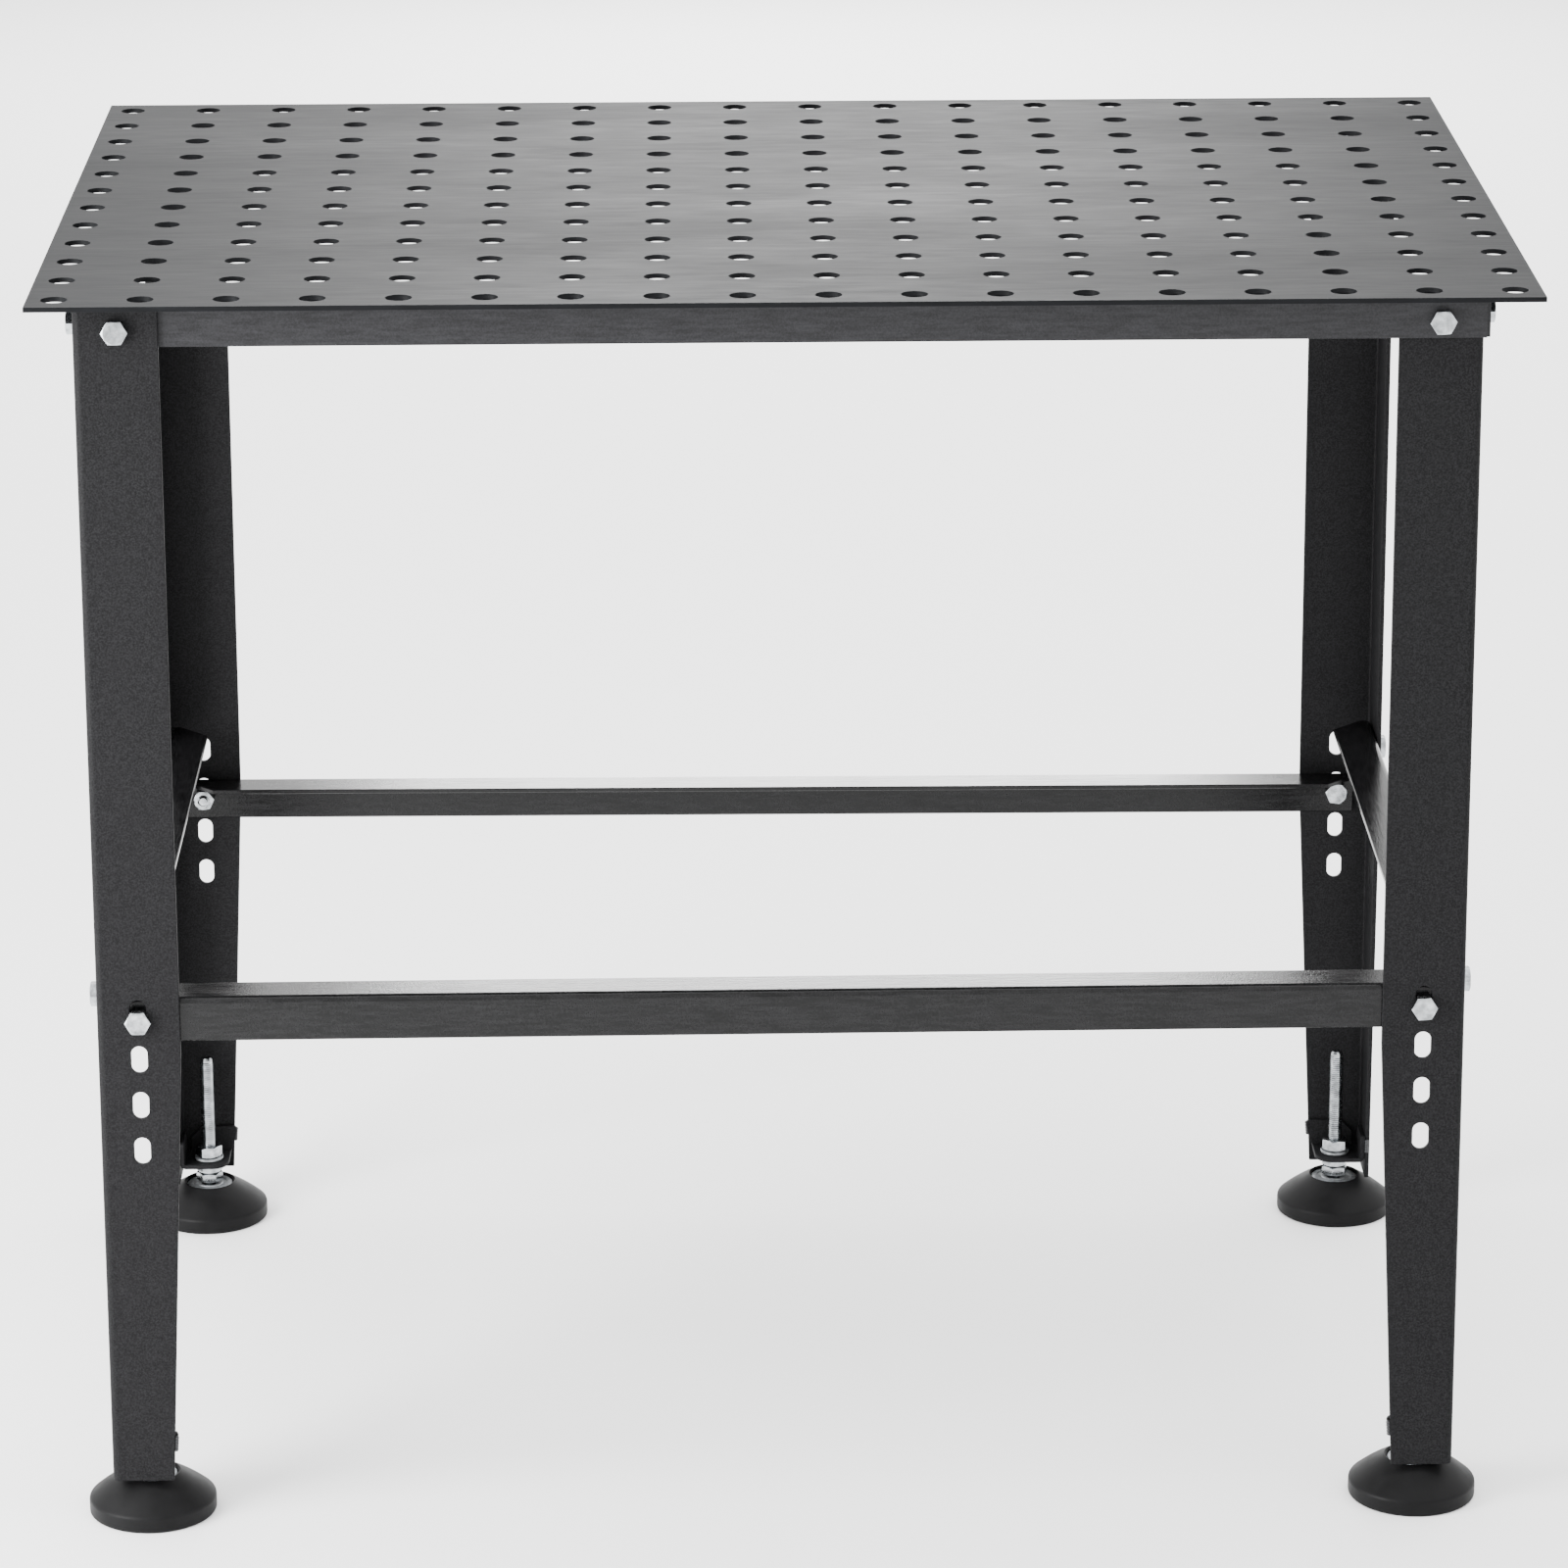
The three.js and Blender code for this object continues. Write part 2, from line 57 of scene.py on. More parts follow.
MM = 0.001
GAP = 0.3 * MM                    # clearance between pieces that touch
BOLT_HOLE = 4.7 * MM              # radius of the M8 bolts' holes
RAIL_BOLT_DROP = 17.7 * MM        # from a rail's top to its bolts
FOOT_INSET = 22.7 * MM            # from a leg's outer faces to its foot's stud
PLATE_LOW, PLATE_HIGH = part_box("top_plate")
RAIL_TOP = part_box("front_rail")[1].z
LEG_BOTTOM, LEG_TOP = (corner.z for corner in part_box("leg_front_left"))
CORNERS = ("front_left", "front_right", "rear_right", "rear_left")


# ---------------------------------------------------------------- colours and sizes

def linear(hex_colour):
    """An sRGB hex colour as linear red, green and blue."""
    channels = [int(hex_colour[i:i + 2], 16) / 255 for i in (1, 3, 5)]
    return [c / 12.92 if c <= 0.04045 else ((c + 0.055) / 1.055) ** 2.4 for c in channels]


def colour(name, description, hex_colour):
    """A colour setting of the finishes."""
    return FloatVectorProperty(name=name, description=description, subtype="COLOR",
                               size=3, min=0, max=1, default=linear(hex_colour))


def length(name, description, millimetres):
    """A length setting of the sizes."""
    return FloatProperty(name=name, description=description, unit="LENGTH",
                         subtype="DISTANCE", min=0, default=millimetres * MM, precision=4)


class TableSizes(PropertyGroup):
    """Sizes of the welding table."""

    plate_length: FloatProperty(
        name="Plate length", description="Left to right size of the top plate",
        unit="LENGTH", subtype="DISTANCE", default=PLATE_HIGH.x - PLATE_LOW.x)
    plate_depth: FloatProperty(
        name="Plate depth", description="Front to back size of the top plate",
        unit="LENGTH", subtype="DISTANCE", default=PLATE_HIGH.y - PLATE_LOW.y)
    hole_columns: IntProperty(
        name="Hole columns", description="Fixture holes from left to right", default=18, min=1)
    hole_rows: IntProperty(
        name="Hole rows", description="Fixture holes from front to back", default=12, min=1)
    hole_pitch: length("Hole pitch", "Distance between neighbouring fixture holes", 51)
    hole_radius: length("Hole radius", "Radius of a fixture hole", 8)
    sheet: length("Sheet thickness", "Thickness of the plate, rails, legs and brackets", 3)
    angle_flange: length("Angle flange", "Flange width of the rails and stretchers", 28)
    angle_bend: length("Angle bend", "Outer bend radius of the rails and stretchers", 4)
    leg_flange: length("Leg flange", "Flange width of a leg above its taper", 51)
    leg_foot_flange: length("Leg foot flange", "Flange width of a leg at the bottom", 38.5)
    leg_taper: length("Leg taper height", "Height where the taper of the legs starts", 310)
    leg_bend: length("Leg bend", "Outer bend radius of the legs", 4.5)
    slot_count: IntProperty(
        name="Slots", description="Slots in each flange of a leg", default=4, min=0)
    slot_width: length("Slot width", "Width of the slots in the legs", 10.2)
    slot_length: length("Slot length", "Height of the slots in the legs", 17.6)
    slot_pitch: length("Slot pitch", "Distance between the slots in the legs", 29.9)
    slot_top: length("Top slot", "Height of the middle of the highest slots", 339)
    bolt_line: length("Bolt line", "Distance of the holes from a leg's outer face", 25.5)
    pad_radius: length("Pad radius", "Radius of the rubber foot pads", 40)


class TableFinishes(PropertyGroup):
    """Colours of the welding table's finishes."""

    plate_paint: colour("Plate paint", "Semi-gloss black enamel on the top plate", "#121315")
    rail_paint: colour("Rail paint", "Satin black paint on the rails", "#1d1d1f")
    stretcher_paint: colour("Stretcher paint", "Semi-gloss black paint on the stretchers",
                            "#171718")
    powder_coat: colour("Powder coat", "Fine-textured black powder coat on the legs", "#161617")
    zinc: colour("Zinc plating", "Zinc on the bolts, nuts, studs, rings and washers", "#c6cacd")
    rubber: colour("Pad rubber", "Moulded black rubber of the foot pads", "#161617")
    floor: colour("Floor", "Pale studio floor", "#fcfcfc")


# ---------------------------------------------------------------- modelling helpers

def select_only(piece):
    """Makes one object the only selected one and the active one."""
    bpy.ops.object.select_all(action="DESELECT")
    piece.select_set(True)
    bpy.context.view_layer.objects.active = piece


def named(name):
    """Names the object that was just added."""
    piece = bpy.context.object
    piece.name = piece.data.name = name
    return piece


def place_in_mesh(piece, matrix=None):
    """Moves a piece to a place, where one is given, and its place into its mesh."""
    select_only(piece)
    if matrix is not None:
        piece.matrix_world = matrix
    bpy.ops.object.transform_apply(location=True, rotation=True, scale=True)


@contextmanager
def editing(piece):
    """Keeps a piece in edit mode, all of it selected at the start."""
    select_only(piece)
    bpy.ops.object.mode_set(mode="EDIT")
    bpy.ops.mesh.select_mode(type="VERT")
    bpy.ops.mesh.select_all(action="SELECT")
    yield
    bpy.ops.object.mode_set(mode="OBJECT")


def pick(kind, test):
    """Selects the vertices or the edges of the edited piece whose middle passes the test."""
    bpy.ops.mesh.select_mode(type=kind)
    bpy.ops.mesh.select_all(action="DESELECT")
    data = bpy.context.edit_object.data
    mesh = bmesh.from_edit_mesh(data)
    if kind == "VERT":
        middles = [(vertex, vertex.co) for vertex in mesh.verts]
    else:
        middles = [(edge, (edge.verts[0].co + edge.verts[1].co) / 2) for edge in mesh.edges]
    for part, middle in middles:
        if test(middle):
            part.select_set(True)
    mesh.select_flush_mode()
    bmesh.update_edit_mesh(data)


def near(value, target):
    """True where two lengths agree within a hundredth of a millimetre."""
    return abs(value - target) < 0.01 * MM


def move(x=0, y=0, z=0):
    """Moves the selected geometry."""
    bpy.ops.transform.translate(value=(x, y, z))


def extrude(x=0, y=0, z=0):
    """Extrudes the selected edges or vertices."""
    bpy.ops.mesh.extrude_region_move(TRANSFORM_OT_translate={"value": (x, y, z)})


def modify(piece, kind, **settings):
    """Adds a modifier with its settings and applies it."""
    select_only(piece)
    bpy.ops.object.modifier_add(type=kind)
    modifier = piece.modifiers[-1]
    for setting, value in settings.items():
        setattr(modifier, setting, value)
    bpy.ops.object.modifier_apply(modifier=modifier.name)


def carve(piece, tools, operation="DIFFERENCE"):
    """Cuts a piece with the joined tools, or keeps what they share, and removes the tools."""
    select_only(tools[0])
    for tool in tools:
        tool.select_set(True)
    if len(tools) > 1:
        bpy.ops.object.join()
    modify(piece, "BOOLEAN", operation=operation, object=tools[0], solver="EXACT")
    bpy.data.objects.remove(tools[0])


def break_edges(piece, width, angle):
    """Takes the sharpness off the edges of a piece that turn by more than an angle."""
    modify(piece, "BEVEL", width=width, segments=1, limit_method="ANGLE",
           angle_limit=math.radians(angle), use_clamp_overlap=True)


def smooth(piece, angle=32):
    """Shades bends smoothly and keeps flats flat."""
    select_only(piece)
    bpy.ops.object.shade_smooth_by_angle(angle=math.radians(angle))
    modify(piece, "WEIGHTED_NORMAL", keep_sharp=True, weight=100)


def copied(piece, name, matrix):
    """Copies a piece with its own mesh to a place, and moves that place into the mesh."""
    select_only(piece)
    bpy.ops.object.duplicate()
    copy = named(name)
    place_in_mesh(copy, matrix)
    return copy


def settle(piece, material, slot, body, *nodes):
    """Gives a finished piece its material and its body, and hides the parts it stands for."""
    piece.data.materials.clear()
    piece.data.materials.append(material)
    declare(piece, slot, body, *nodes)


def declare(piece, slot, body, *nodes):
    """Says which body a piece rides on and hides the parts it stands for; its slot is not used.
    """
    if nodes:
        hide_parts(*nodes)
    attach(piece, body)


def first_point(name, point):
    """A single vertex, from which a profile or a sheet is extruded."""
    bpy.ops.object.select_all(action="DESELECT")
    bpy.ops.mesh.primitive_plane_add(size=MM)
    piece = named(name)
    with editing(piece):
        bpy.ops.mesh.merge(type="CENTER")
        move(*point)
    return piece


def millimetres(profile):
    """A profile given in millimetres, in metres."""
    return [(radius * MM, height * MM) for radius, height in profile]


def turned(name, profile, steps=48):
    """Spins a profile of radius and height pairs round the upright axis."""
    piece = first_point(name, (profile[0][0], 0, profile[0][1]))
    with editing(piece):
        for (r0, z0), (r1, z1) in zip(profile, profile[1:]):
            extrude(r1 - r0, 0, z1 - z0)
        bpy.ops.mesh.select_all(action="SELECT")
        bpy.ops.mesh.spin(steps=steps, angle=2 * math.pi, center=(0, 0, 0), axis=(0, 0, 1))
        bpy.ops.mesh.select_all(action="SELECT")
        bpy.ops.mesh.remove_doubles(threshold=0.002 * MM)
        bpy.ops.mesh.normals_make_consistent(inside=False)
    return piece


def arc(x, y, radius, start, end, steps):
    """Points along an arc, for a profile."""
    angles = [math.radians(start + (end - start) * i / steps) for i in range(steps + 1)]
    return [(x + radius * math.cos(a), y + radius * math.sin(a)) for a in angles]


def hexagon_bar(flats, bottom, top):
    """An upright hexagonal bar, used to give nuts and heads their flats."""
    bpy.ops.object.select_all(action="DESELECT")
    bpy.ops.mesh.primitive_cylinder_add(
        vertices=6, radius=flats * MM / math.sqrt(3), depth=top - bottom,
        location=(0, 0, (top + bottom) / 2))
    bar = named("hexagon_bar")
    place_in_mesh(bar)
    return bar


def hexagon_part(name, profile, flats, bottom, top):
    """A turned profile cut to a hexagon, so its corners get the curved chamfers of a nut."""
    piece = turned(name, profile)
    carve(piece, [hexagon_bar(flats, bottom - MM, top + MM)], "INTERSECT")
    return piece


def thread(radius, pitch, bottom, top):
    """A helical ridge that stands on a threaded core, with flanks of a metric thread."""
    depth = 0.6 * pitch
    ridge = first_point("thread", (radius - depth, 0, bottom))
    with editing(ridge):
        extrude(depth, 0, 0.4 * pitch)
        extrude(0, 0, 0.12 * pitch)
        extrude(-depth, 0, 0.4 * pitch)
        bpy.ops.mesh.select_all(action="SELECT")
        bpy.ops.mesh.edge_face_add()
        bpy.ops.mesh.delete(type="ONLY_FACE")
    turns = int((top - bottom) / pitch) - 1
    modify(ridge, "SCREW", axis="Z", angle=2 * math.pi, screw_offset=pitch, iterations=turns,
           steps=16, render_steps=16, use_merge_vertices=False)
    with editing(ridge):
        bpy.ops.mesh.select_mode(type="EDGE")
        bpy.ops.mesh.select_all(action="DESELECT")
        bpy.ops.mesh.select_non_manifold(use_wire=False, use_multi_face=False,
                                         use_non_contiguous=False, use_verts=False)
        bpy.ops.mesh.fill_holes(sides=4)
        bpy.ops.mesh.select_all(action="SELECT")
        bpy.ops.mesh.normals_make_consistent(inside=False)
    return ridge


def joined(pieces):
    """Joins pieces into the first one."""
    select_only(pieces[0])
    for piece in pieces:
        piece.select_set(True)
    bpy.ops.object.join()
    return pieces[0]


def corner_place(corner):
    """The place of a corner: its local axes run inwards along the two outer leg faces."""
    low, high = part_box("leg_" + corner)
    x = low.x if "left" in corner else high.x
    y = low.y if "front" in corner else high.y
    turns = CORNERS.index(corner)
    return Matrix.Translation((x, y, 0)) @ Matrix.Rotation(turns * math.pi / 2, 4, "Z")


# ---------------------------------------------------------------- bent sheet metal

def round_tool(x, z, radius, slot=0):
    """A cutter through a web, for a round hole or for a slot of the given height."""
    sides = 32
    bpy.ops.object.select_all(action="DESELECT")
    bpy.ops.mesh.primitive_cylinder_add(vertices=sides, radius=radius, depth=30 * MM)
    tool = named("tool")
    with editing(tool):
        bpy.ops.transform.rotate(value=math.pi / sides, orient_axis="Z",
                                 center_override=(0, 0, 0))
        bpy.ops.transform.rotate(value=math.pi / 2, orient_axis="X",
                                 center_override=(0, 0, 0))
        straight = max(0, slot / 2 - radius)
        pick("VERT", lambda v: v.z > 0)
        move(z=straight)
        pick("VERT", lambda v: v.z < 0)
        move(z=-straight)
        bpy.ops.mesh.select_all(action="SELECT")
        move(x, 0, z)
    return tool


def bent_sheet(name, size, bend, sheet):
    """Extrudes a web and a flange from one plane, rounds their fold and gives them a wall.

    The web's outer face lies in the XZ plane below the fold, the flange in the XY plane."""
    long, flange = size
    bpy.ops.object.select_all(action="DESELECT")
    bpy.ops.mesh.primitive_plane_add(size=1)
    piece = named(name)
    with editing(piece):
        bpy.ops.transform.resize(value=(long, flange, 1), center_override=(0, 0, 0))
        move(y=flange / 2)
        pick("EDGE", lambda e: near(e.y, 0))
        extrude(z=-flange)
    fold(piece, bend, sheet)
    return piece


def fold(piece, bend, sheet):
    """Rounds the folds of a thin sheet and gives it its wall on the inner side."""
    modify(piece, "BEVEL", width=bend, segments=7, limit_method="ANGLE",
           angle_limit=math.radians(60), use_clamp_overlap=False)
    modify(piece, "SOLIDIFY", thickness=sheet, offset=-1, use_even_offset=True)


def turn_out(piece, direction):
    """Turns an open sheet's faces so that the ones across a direction look along it."""
    facing = max(piece.data.polygons, key=lambda p: abs(p.normal.dot(direction)) * p.area)
    if facing.normal.dot(direction) < 0:
        with editing(piece):
            bpy.ops.mesh.flip_normals()


def slice_off(piece, point, normal):
    """Cuts away what lies beyond a plane and closes the cut."""
    with editing(piece):
        bpy.ops.mesh.bisect(plane_co=point, plane_no=normal, clear_outer=True, use_fill=True)


def placed_bar(piece, x, y, top, angle):
    """Moves a bar modelled round the origin to its place on the table."""
    place_in_mesh(piece, Matrix.Translation((x, y, top)) @ Matrix.Rotation(angle, 4, "Z"))


# ---------------------------------------------------------------- feet, bolts and welds

def foot_stud():
    """A ball, neck, spanner hexagon and long thread turned from one bar."""
    ball = arc(0, 15, 7, -90, 55, 14)
    ball[0] = (0, 8)
    core = turned("stud", millimetres(ball + [
        (4, 22), (4, 26), (4.6, 27.3), (4.6, 34), (4.2, 34.6), (4.2, 116.6), (3.2, 118),
        (0, 118)]), 32)
    collar = hexagon_part("collar", millimetres([
        (0, 26.3), (7.4, 26.3), (9.3, 27.3), (9.3, 32), (7.4, 33), (0, 33)]), 16,
        26.3 * MM, 33 * MM)
    stud = joined([core, collar, thread(4.9 * MM, 1.5 * MM, 34.5 * MM, 116.8 * MM)])
    smooth(stud)
    return stud


def foot_pad(radius):
    """A moulded pad: a rounded rim, a low crowned cone, and a socket for the ball."""
    outer = radius / MM
    rim = arc(outer - 1.8, 1.8, 1.8, -90, 0, 5) + arc(outer - 3, 8.6, 3, 0, 55, 6)
    start, end = rim[-1], (18.6, 25.4)
    cone = []
    for step in range(1, 8):
        t = step / 8
        crown = 3.2 * t * (1 - t)
        cone.append((start[0] + (end[0] - start[0]) * t,
                     start[1] + (end[1] - start[1]) * t + crown))
    grooves = [(0, 0)]
    for middle in (14, 21, 28):
        grooves += [(middle - 1.4, 0), (middle - 0.9, 0.8), (middle + 0.9, 0.8),
                    (middle + 1.4, 0)]
    socket = arc(0, 15, 7.5, 0, -90, 10)
    socket[-1] = (0, 7.5)
    pad = turned("pad", millimetres(
        grooves + rim + cone + [end] + arc(17.6, 25.4, 0.6, 40, 150, 4)
        + [(16.2, 25), (16.2, 20.2), (7.5, 20.2)] + socket), 72)
    smooth(pad, 40)
    return pad


def socket_ring():
    """The stamped ring that keeps the ball in its pad."""
    ring = turned("ring", millimetres([
        (5.7, 20.5), (15.9, 20.5), (15.9, 23.9), (15.3, 24.5), (12.4, 24.5), (11.8, 24.1),
        (9.2, 24.1), (8.8, 24.5), (6.6, 24.5), (6.2, 24.1), (5.7, 20.5)]), 56)
    smooth(ring)
    return ring


def foot_nut(bottom, top):
    """A chamfered hexagon nut of the levelling feet."""
    nut = hexagon_part("nut", millimetres([
        (5, bottom + 0.6), (5.7, bottom), (7.5, bottom), (9.3, bottom + 1.1),
        (9.3, top - 1.1), (7.5, top), (5.7, top), (5, top - 0.6), (5, bottom + 0.6)]),
        16, bottom * MM, top * MM)
    smooth(nut)
    return nut


def foot_washer():
    """A flat washer with rounded rims."""
    washer = turned("washer", millimetres([
        (5.4, 42.8), (5.6, 42.6), (9.6, 42.6), (10, 43), (10, 44), (9.6, 44.4),
        (5.6, 44.4), (5.4, 44.2), (5.4, 42.8)]))
    smooth(washer)
    return washer


def bolt_with_nut(clamped):
    """A hexagon bolt lying along Y with its head at the front and its nut behind the grip."""
    head = hexagon_part("head", millimetres([
        (0, -5.1), (5.6, -5.1), (6, -5.3), (6.7, -5.3), (8.2, -4.6), (8.2, -0.4), (6.7, -0.4),
        (6.6, 0), (3.9, 0), (3.9, clamped), (3.35, clamped + 0.4), (3.35, 15.3),
        (2.7, 16), (0, 16)]), 14, -6 * MM, 17 * MM)
    far = clamped + 6.5
    nut = hexagon_part("nut", millimetres([
        (3.5, clamped + 0.4), (4, clamped), (6.3, clamped), (7.6, clamped + 0.8),
        (7.6, far - 0.8), (6.3, far), (4, far), (3.5, far - 0.4), (3.5, clamped + 0.4)]),
        13, clamped * MM, far * MM)
    ridge = thread(3.95 * MM, 1.25 * MM, (clamped + 3.5) * MM, 15.9 * MM)
    bolt = joined([head, nut, ridge])
    smooth(bolt)
    place_in_mesh(bolt, Matrix.Rotation(-math.pi / 2, 4, "X"))
    return bolt


def bead(name, points, radius):
    """A weld bead: overlapping ripples laid along a row of points."""
    ripples = []
    for point in points:
        bpy.ops.object.select_all(action="DESELECT")
        bpy.ops.mesh.primitive_ico_sphere_add(subdivisions=2, radius=radius, location=point)
        ripples.append(bpy.context.object)
    joined(ripples)
    weld = named(name)
    place_in_mesh(weld)
    bpy.ops.object.shade_smooth()
    return weld


# ---------------------------------------------------------------- finishes

def node(tree, kind, inputs=None, **settings):
    """Adds one node with its settings, and values or links for its inputs."""
    made = tree.nodes.new(kind)
    for setting, value in settings.items():
        setattr(made, setting, value)
    for name, value in (inputs or {}).items():
        if isinstance(value, bpy.types.NodeSocket):
            tree.links.new(value, made.inputs[name])
        else:
            made.inputs[name].default_value = value
    return made


def new_finish(name, **shader_values):
    """A material with its shader, and the object coordinates its patterns read."""
    material = bpy.data.materials.new(name)
    material.use_nodes = True
    tree = material.node_tree
    tree.nodes.clear()
    shader = node(tree, "ShaderNodeBsdfPrincipled", shader_values)
    node(tree, "ShaderNodeOutputMaterial", {"Surface": shader.outputs["BSDF"]})
    place = node(tree, "ShaderNodeTexCoord").outputs["Object"]
    return material, tree, shader, place


def grain(tree, place, size, stretch=(1, 1, 1), detail=3):
    """Noise whose grains are about the given size, drawn out where stretch is under 1."""
    mapped = node(tree, "ShaderNodeMapping", {"Vector": place, "Scale": stretch})
    return node(tree, "ShaderNodeTexNoise", {
        "Vector": mapped.outputs["Vector"], "Scale": 1 / size, "Detail": detail,
        "Roughness": 0.55}).outputs["Fac"]


def rgba(setting, factor):
    """A colour setting as four channels, lighter or darker by a factor."""
    return [min(1, c * factor) for c in setting] + [1]


def surface(tree, shader, setting, tone, roughness, relief):
    """Lets patterns lead a shader's colour, roughness and relief.

    tone is a pattern, its low and high value, and the factors of the colour there.
    roughness is a pattern, its low and high value, and the roughness there.
    relief is a pattern and the height that it raises the surface by."""
    pattern, low, high, dark, light = tone
    share = node(tree, "ShaderNodeMapRange", {
        "Value": pattern, "From Min": low, "From Max": high})
    base = node(tree, "ShaderNodeMix", {
        0: share.outputs["Result"], 6: rgba(setting, dark), 7: rgba(setting, light)},
        data_type="RGBA")
    tree.links.new(base.outputs[2], shader.inputs["Base Color"])
    pattern, low, high, least, most = roughness
    rough = node(tree, "ShaderNodeMapRange", {
        "Value": pattern, "From Min": low, "From Max": high,
        "To Min": least, "To Max": most})
    tree.links.new(rough.outputs["Result"], shader.inputs["Roughness"])
    pattern, height = relief
    raised = node(tree, "ShaderNodeBump", {"Height": pattern, "Distance": height})
    tree.links.new(raised.outputs["Normal"], shader.inputs["Normal"])


def plate_enamel(name, setting, lighter):
    """Semi-gloss black enamel, sprayed and baked on hot-rolled sheet.

    It gives a dark film that mirrors softly, with faint rolling streaks along the sheet."""
    material, tree, shader, place = new_finish(name, **{
        "IOR": 1.42, "Specular IOR Level": 0.09})
    streaks = grain(tree, place, 4 * MM, (0.12, 1, 1), 5)      # rolling streaks 4 mm apart
    clouds = grain(tree, place, 120 * MM, (0.4, 1, 1))         # film thickness, hand-sized
    peel = grain(tree, place, 0.9 * MM)                        # orange peel under a millimetre
    uneven = node(tree, "ShaderNodeMath", {0: streaks, 1: clouds}, operation="ADD").outputs[0]
    # lighter scales the whole colour: 1 on the plate, above 1 on the rims as a painted highlight
    surface(tree, shader, setting, (streaks, 0.3, 0.7, 0.5 * lighter, 0.9 * lighter),
            (uneven, 0.7, 1.3, 0.5, 0.6), (peel, 0.012 * MM))
    return material


def satin_paint(name, setting, along, gloss, dark, light):
    """Black paint sprayed on rolled angle steel.

    It gives a satin film with a fine speckle, and streaks along the bar."""
    material, tree, shader, place = new_finish(name, **{
        "IOR": 1.45, "Specular IOR Level": 0.22})
    stretch = (0.12, 1, 1) if along == "X" else (1, 0.12, 1)
    streaks = grain(tree, place, 2.2 * MM, stretch, 4)         # mill streaks 2.2 mm apart
    speckle = grain(tree, place, 1.1 * MM, detail=2)           # drawn at 1.1 mm so it shows
    patches = grain(tree, place, 70 * MM)                      # uneven spraying
    marks = node(tree, "ShaderNodeMath", {0: streaks, 1: speckle}, operation="ADD").outputs[0]
    uneven = node(tree, "ShaderNodeMath", {0: streaks, 1: patches}, operation="ADD").outputs[0]
    surface(tree, shader, setting, (marks, 0.75, 1.3, dark, light),
            (uneven, 0.7, 1.3, gloss - 0.05, gloss + 0.06), (marks, 0.05 * MM))
    return material


def powder_coat(name, setting):
    """Fine-textured black powder coat, baked on bent sheet.

    It gives a matte black skin with a sandy grain that scatters highlights."""
    material, tree, shader, place = new_finish(name, **{
        "IOR": 1.5, "Specular IOR Level": 0.06})
    sand = grain(tree, place, MM, detail=2)                    # drawn at 1 mm so it shows
    clouds = grain(tree, place, 70 * MM)                       # uneven baking
    surface(tree, shader, setting, (sand, 0.35, 0.7, 0.55, 1.6),
            (clouds, 0.3, 0.7, 0.52, 0.66), (sand, 0.03 * MM))
    return material


def zinc_plating(name, setting, dull):
    """Bright zinc, electroplated on cold-headed and turned steel.

    It gives a silvery metal with a cloudy passivation, its contrast raised as painted
    reflections of dark surroundings; stamped rings are duller."""
    material, tree, shader, place = new_finish(name, **{"Metallic": 1})
    clouds = grain(tree, place, 5 * MM)                        # passivation clouds, strong enough to be partly painted reflection
    fine = grain(tree, place, 0.9 * MM)                        # tool marks, drawn at 0.9 mm
    surface(tree, shader, setting, (clouds, 0.35, 0.65, 0.42, 0.85),
            (fine, 0.3, 0.7, 0.14 + dull, 0.28 + dull), (fine, 0.01 * MM))
    return material


def moulded_rubber(name, setting):
    """Moulded black rubber.

    It gives a matte black with a soft sheen on its rounded edges and a faint mould grain."""
    material, tree, shader, place = new_finish(name, **{
        "IOR": 1.5, "Specular IOR Level": 0.1})
    skin = grain(tree, place, 0.9 * MM, detail=2)              # mould grain, drawn at 0.9 mm
    bloom = grain(tree, place, 14 * MM)                        # pale bloom and dust
    surface(tree, shader, setting, (bloom, 0.35, 0.75, 0.35, 0.6),
            (bloom, 0.3, 0.7, 0.44, 0.56), (skin, 0.03 * MM))
    return material


def weld_bead(name, setting):
    """Painted steel weld bead.

    It gives a dark, slightly shiny bead whose ripples are in its mesh."""
    material, tree, shader, place = new_finish(name, **{
        "IOR": 1.5, "Specular IOR Level": 0.5})
    slag = grain(tree, place, 1.5 * MM)                        # pits of 1.5 mm
    surface(tree, shader, setting, (slag, 0.3, 0.7, 0.8, 2.4),
            (slag, 0.3, 0.7, 0.35, 0.55), (slag, 0.04 * MM))
    return material


def studio_floor(name, setting):
    """Matte painted studio floor, pale and even."""
    material, tree, shader, place = new_finish(name, **{"Roughness": 0.9})
    base = node(tree, "ShaderNodeMix", {
        0: grain(tree, place, 400 * MM), 6: rgba(setting, 0.99), 7: rgba(setting, 1.01)},
        data_type="RGBA")
    tree.links.new(base.outputs[2], shader.inputs["Base Color"])
    return material


def finish(name):
    """A finish by name, made once."""
    made = bpy.data.materials.get(name)
    if made:
        return made
    colours = bpy.context.scene.welding_table_finishes
    satin = (0.42, 0.6, 1.5)               # roughness, and the colour's factors
    semi_gloss = (0.17, 0.12, 0.95)
    recipes = {
        "Semi-gloss enamel": (plate_enamel, colours.plate_paint, 1),
        # the rims' enamel is 1.8 times lighter: a painted highlight where the cut rims catch the
        # light
        "Enamel on cut rims": (plate_enamel, colours.plate_paint, 1.8),
        "Satin paint, long bars": (satin_paint, colours.rail_paint, "X", *satin),
        "Satin paint, cross bars": (satin_paint, colours.rail_paint, "Y", *satin),
        "Semi-gloss paint, long bars": (satin_paint, colours.stretcher_paint, "X", *semi_gloss),
        "Semi-gloss paint, cross bars": (satin_paint, colours.stretcher_paint, "Y", *semi_gloss),
        "Fine-textured powder coat": (powder_coat, colours.powder_coat),
        "Bright zinc plating": (zinc_plating, colours.zinc, 0),
        "Dull zinc, stamped rings": (zinc_plating, colours.zinc, 0.3),
        "Moulded black rubber": (moulded_rubber, colours.rubber),
        "Painted weld bead": (weld_bead, colours.plate_paint),
        "Matte studio floor": (studio_floor, colours.floor),
    }
    maker, setting, *values = recipes[name]
    return maker(name, setting, *values)


# ---------------------------------------------------------------- the pieces

